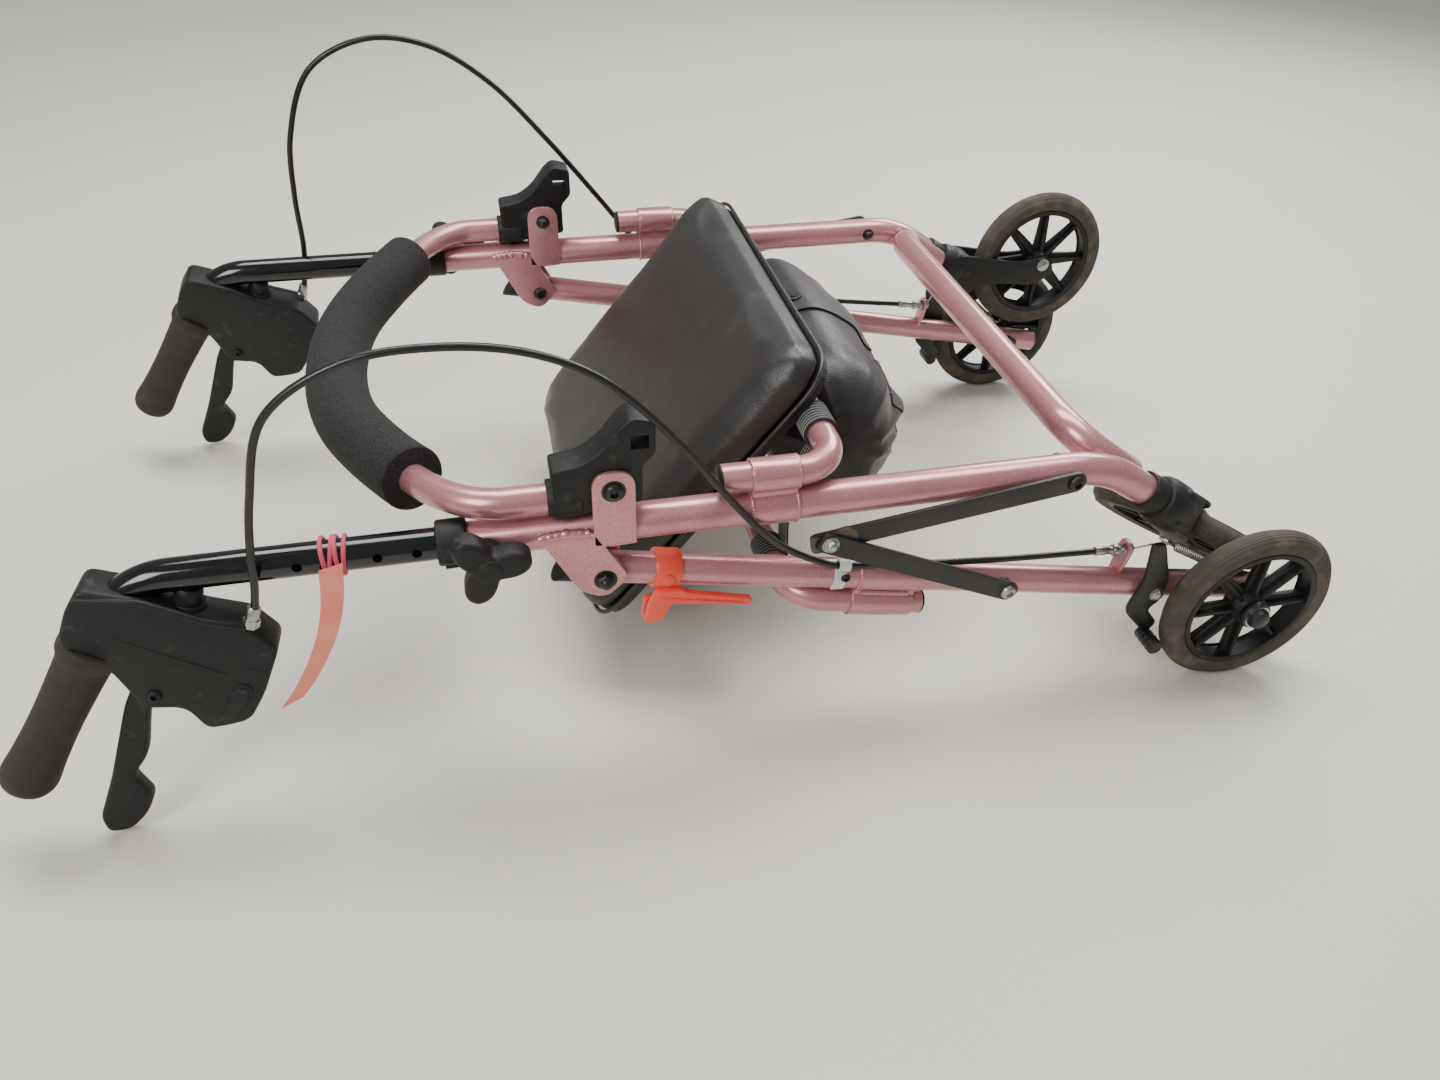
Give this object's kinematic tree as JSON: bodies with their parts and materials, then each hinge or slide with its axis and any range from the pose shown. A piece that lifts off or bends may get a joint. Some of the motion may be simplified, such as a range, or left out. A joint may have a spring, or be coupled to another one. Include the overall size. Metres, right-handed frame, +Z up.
{
  "type": "rollator walker",
  "caption": "Folded rolling walker with padded seat, under-seat bag, foam backrest, swivel casters and loop hand brakes, lying on its rear wheels.",
  "frame": {"origin": "bottom centre of the bounding box, on the floor", "axes": "+X from the handles towards the wheels, +Y to the walker's left side, +Z up as it lies folded"},
  "size_m": [1.0486, 0.558, 0.4108],
  "materials": {
    "frame_paint": "metallic pink enamel, semi gloss",
    "post_black": "gloss black",
    "grip_rubber": "matt, moulded",
    "tyre_rubber": "dusty grey",
    "foam": "closed cell foam, matt",
    "vinyl": "charcoal vinyl, satin",
    "board": "black faced board",
    "nylon": "coated black nylon",
    "steel": "zinc plated",
    "black_steel": "black, worn",
    "red_plastic": "satin",
    "grey_plastic": "satin",
    "cable_sheath": "satin sheath",
    "black_plastic": "fine moulded grain"
  },
  "bodies": {
    "main_frame": {"main_tube_right": "frame_paint", "main_tube_left": "frame_paint", "seat_front_tube": "frame_paint", "front_cross_tube": "frame_paint", "post_collar_right": "black_plastic", "post_collar_left": "black_plastic", "backrest_bolt_right": "steel", "backrest_bolt_left": "steel", "fold_bolt_right": "steel", "fold_bolt_left": "steel", "brake_cable_right": "cable_sheath", "brake_cable_left": "cable_sheath", "under_seat_bag": "nylon"},
    "rear_frame": {"rear_leg_right": "frame_paint", "rear_leg_left": "frame_paint", "leg_cap_right": "black_plastic", "leg_cap_left": "black_plastic", "seat_rear_tube": "frame_paint", "rear_axle_right": "steel", "rear_axle_left": "steel", "brake_spring_right": "steel", "brake_spring_left": "steel", "cable_clip_right": "grey_plastic", "cable_clip_left": "grey_plastic"},
    "backrest": {"backrest_tube": "frame_paint", "backrest_foam": "foam", "backrest_bracket_right": "black_plastic", "backrest_bracket_left": "black_plastic"},
    "seat": {"seat_board": "board", "seat_pad": "vinyl"},
    "lock_clip": {"lock_clip": "red_plastic"},
    "handle_right": {"handle_post_right": "post_black", "grip_right": "grip_rubber", "brake_housing_right": "black_plastic", "cable_lead_right": "cable_sheath"},
    "handle_left": {"handle_post_left": "post_black", "grip_left": "grip_rubber", "brake_housing_left": "black_plastic", "cable_lead_left": "cable_sheath"},
    "brake_lever_right": {"brake_lever_right": "black_plastic"},
    "brake_lever_left": {"brake_lever_left": "black_plastic"},
    "height_knob_right": {"height_knob_right": "black_plastic"},
    "height_knob_left": {"height_knob_left": "black_plastic"},
    "front_brace_right": {"front_brace_right": "black_steel"},
    "front_brace_left": {"front_brace_left": "black_steel"},
    "rear_brace_right": {"rear_brace_right": "black_steel"},
    "rear_brace_left": {"rear_brace_left": "black_steel"},
    "brake_arm_right": {"brake_arm_right": "black_steel"},
    "brake_arm_left": {"brake_arm_left": "black_steel"},
    "rear_wheel_right": {"rear_tyre_right": "tyre_rubber", "rear_rim_right": "black_plastic"},
    "rear_wheel_left": {"rear_tyre_left": "tyre_rubber", "rear_rim_left": "black_plastic"},
    "caster_right": {"caster_fork_right": "black_plastic"},
    "caster_left": {"caster_fork_left": "black_plastic"},
    "caster_wheel_right": {"caster_tyre_right": "tyre_rubber", "caster_rim_right": "black_plastic"},
    "caster_wheel_left": {"caster_tyre_left": "tyre_rubber", "caster_rim_left": "black_plastic"}
  },
  "joints": [
    {"name": "fold", "type": "hinge", "parent": "main_frame", "child": "rear_frame", "pos_m": [-0.11135, 0, 0.17304], "axis": [0, 1, 0], "range_deg": [0, 47]},
    {"name": "backrest_flip", "type": "hinge", "parent": "main_frame", "child": "backrest", "pos_m": [-0.10468, 0, 0.24767], "axis": [0, 1, 0], "range_deg": [0, 50]},
    {"name": "seat_flip", "type": "hinge", "parent": "main_frame", "child": "seat", "pos_m": [0.05649, 0, 0.23954], "axis": [0, 1, 0], "range_deg": [-8, 38]},
    {"name": "front_brace_right", "type": "hinge", "parent": "main_frame", "child": "front_brace_right", "pos_m": [0.23592, -0.228, 0.21723], "axis": [0, 1, 0], "range_deg": [-45.3, 0]},
    {"name": "front_brace_left", "type": "hinge", "parent": "main_frame", "child": "front_brace_left", "pos_m": [0.23592, 0.228, 0.21723], "axis": [0, 1, 0], "range_deg": [-45.3, 0]},
    {"name": "rear_brace_right", "type": "hinge", "parent": "rear_frame", "child": "rear_brace_right", "pos_m": [0.20204, -0.228, 0.12011], "axis": [0, 1, 0], "range_deg": [0, 40.8]},
    {"name": "rear_brace_left", "type": "hinge", "parent": "rear_frame", "child": "rear_brace_left", "pos_m": [0.20204, 0.228, 0.12011], "axis": [0, 1, 0], "range_deg": [0, 40.8]},
    {"name": "handle_height_right", "type": "slide", "parent": "main_frame", "child": "handle_right", "axis": [-0.9998, 0, -0.0178], "range_m": [-0.095, 0.03]},
    {"name": "handle_height_left", "type": "slide", "parent": "main_frame", "child": "handle_left", "axis": [-0.9998, 0, -0.0178], "range_m": [-0.095, 0.03]},
    {"name": "brake_lever_right", "type": "hinge", "parent": "handle_right", "child": "brake_lever_right", "pos_m": [-0.40654, -0.23927, 0.12457], "axis": [0.0025, 0.9903, -0.1392], "range_deg": [0, 12], "stiffness_Nm_per_rad": 12, "springref_deg": -6.88},
    {"name": "brake_lever_left", "type": "hinge", "parent": "handle_left", "child": "brake_lever_left", "pos_m": [-0.40654, 0.23927, 0.12457], "axis": [-0.0025, 0.9903, 0.1392], "range_deg": [0, 12], "stiffness_Nm_per_rad": 12, "springref_deg": -6.88},
    {"name": "brake_arm_right", "type": "hinge", "parent": "rear_frame", "child": "brake_arm_right", "pos_m": [0.34534, -0.228, 0.09103], "axis": [0, 1, 0], "range_deg": [-3, 0]},
    {"name": "brake_arm_left", "type": "hinge", "parent": "rear_frame", "child": "brake_arm_left", "pos_m": [0.34534, 0.228, 0.09103], "axis": [0, 1, 0], "range_deg": [-3, 0]},
    {"name": "knob_turn_right", "type": "hinge", "parent": "main_frame", "child": "height_knob_right", "pos_m": [-0.19, -0.228, 0.20865], "axis": [0, -1, 0], "range_deg": [-360, 0]},
    {"name": "knob_turn_left", "type": "hinge", "parent": "main_frame", "child": "height_knob_left", "pos_m": [-0.19, 0.228, 0.20865], "axis": [0, 1, 0], "range_deg": [-360, 0]},
    {"name": "rear_wheel_right", "type": "hinge", "parent": "rear_frame", "child": "rear_wheel_right", "pos_m": [0.42802, -0.228, 0.07619], "axis": [0, 1, 0], "continuous": true},
    {"name": "rear_wheel_left", "type": "hinge", "parent": "rear_frame", "child": "rear_wheel_left", "pos_m": [0.42802, 0.228, 0.07619], "axis": [0, 1, 0], "continuous": true},
    {"name": "caster_swivel_right", "type": "hinge", "parent": "main_frame", "child": "caster_right", "pos_m": [0.32355, -0.228, 0.18177], "axis": [0.8389, 0, -0.5443], "range_deg": [0, 105]},
    {"name": "caster_swivel_left", "type": "hinge", "parent": "main_frame", "child": "caster_left", "pos_m": [0.32355, 0.228, 0.18177], "axis": [0.8389, 0, -0.5443], "range_deg": [0, 105]},
    {"name": "caster_spin_right", "type": "hinge", "parent": "caster_right", "child": "caster_wheel_right", "pos_m": [0.40359, -0.17237, 0.10304], "axis": [0.5047, 0.3746, 0.7778], "continuous": true},
    {"name": "caster_spin_left", "type": "hinge", "parent": "caster_left", "child": "caster_wheel_left", "pos_m": [0.44848, 0.22905, 0.17222], "axis": [0.0095, -0.9998, 0.0146], "continuous": true},
    {"name": "lock_clip_turn", "type": "hinge", "parent": "rear_frame", "child": "lock_clip", "pos_m": [-0.06608, -0.228, 0.16491], "axis": [0.9843, 0, -0.1767], "range_deg": [-20, 25]}
  ],
  "couplings": [
    {"joint": "front_brace_right", "follows": "fold", "ratio": -0.9638},
    {"joint": "front_brace_left", "follows": "fold", "ratio": -0.9638},
    {"joint": "rear_brace_right", "follows": "fold", "ratio": 0.8679},
    {"joint": "rear_brace_left", "follows": "fold", "ratio": 0.8679},
    {"joint": "brake_arm_right", "follows": "brake_lever_right", "ratio": -0.25},
    {"joint": "brake_arm_left", "follows": "brake_lever_left", "ratio": -0.25}
  ]
}
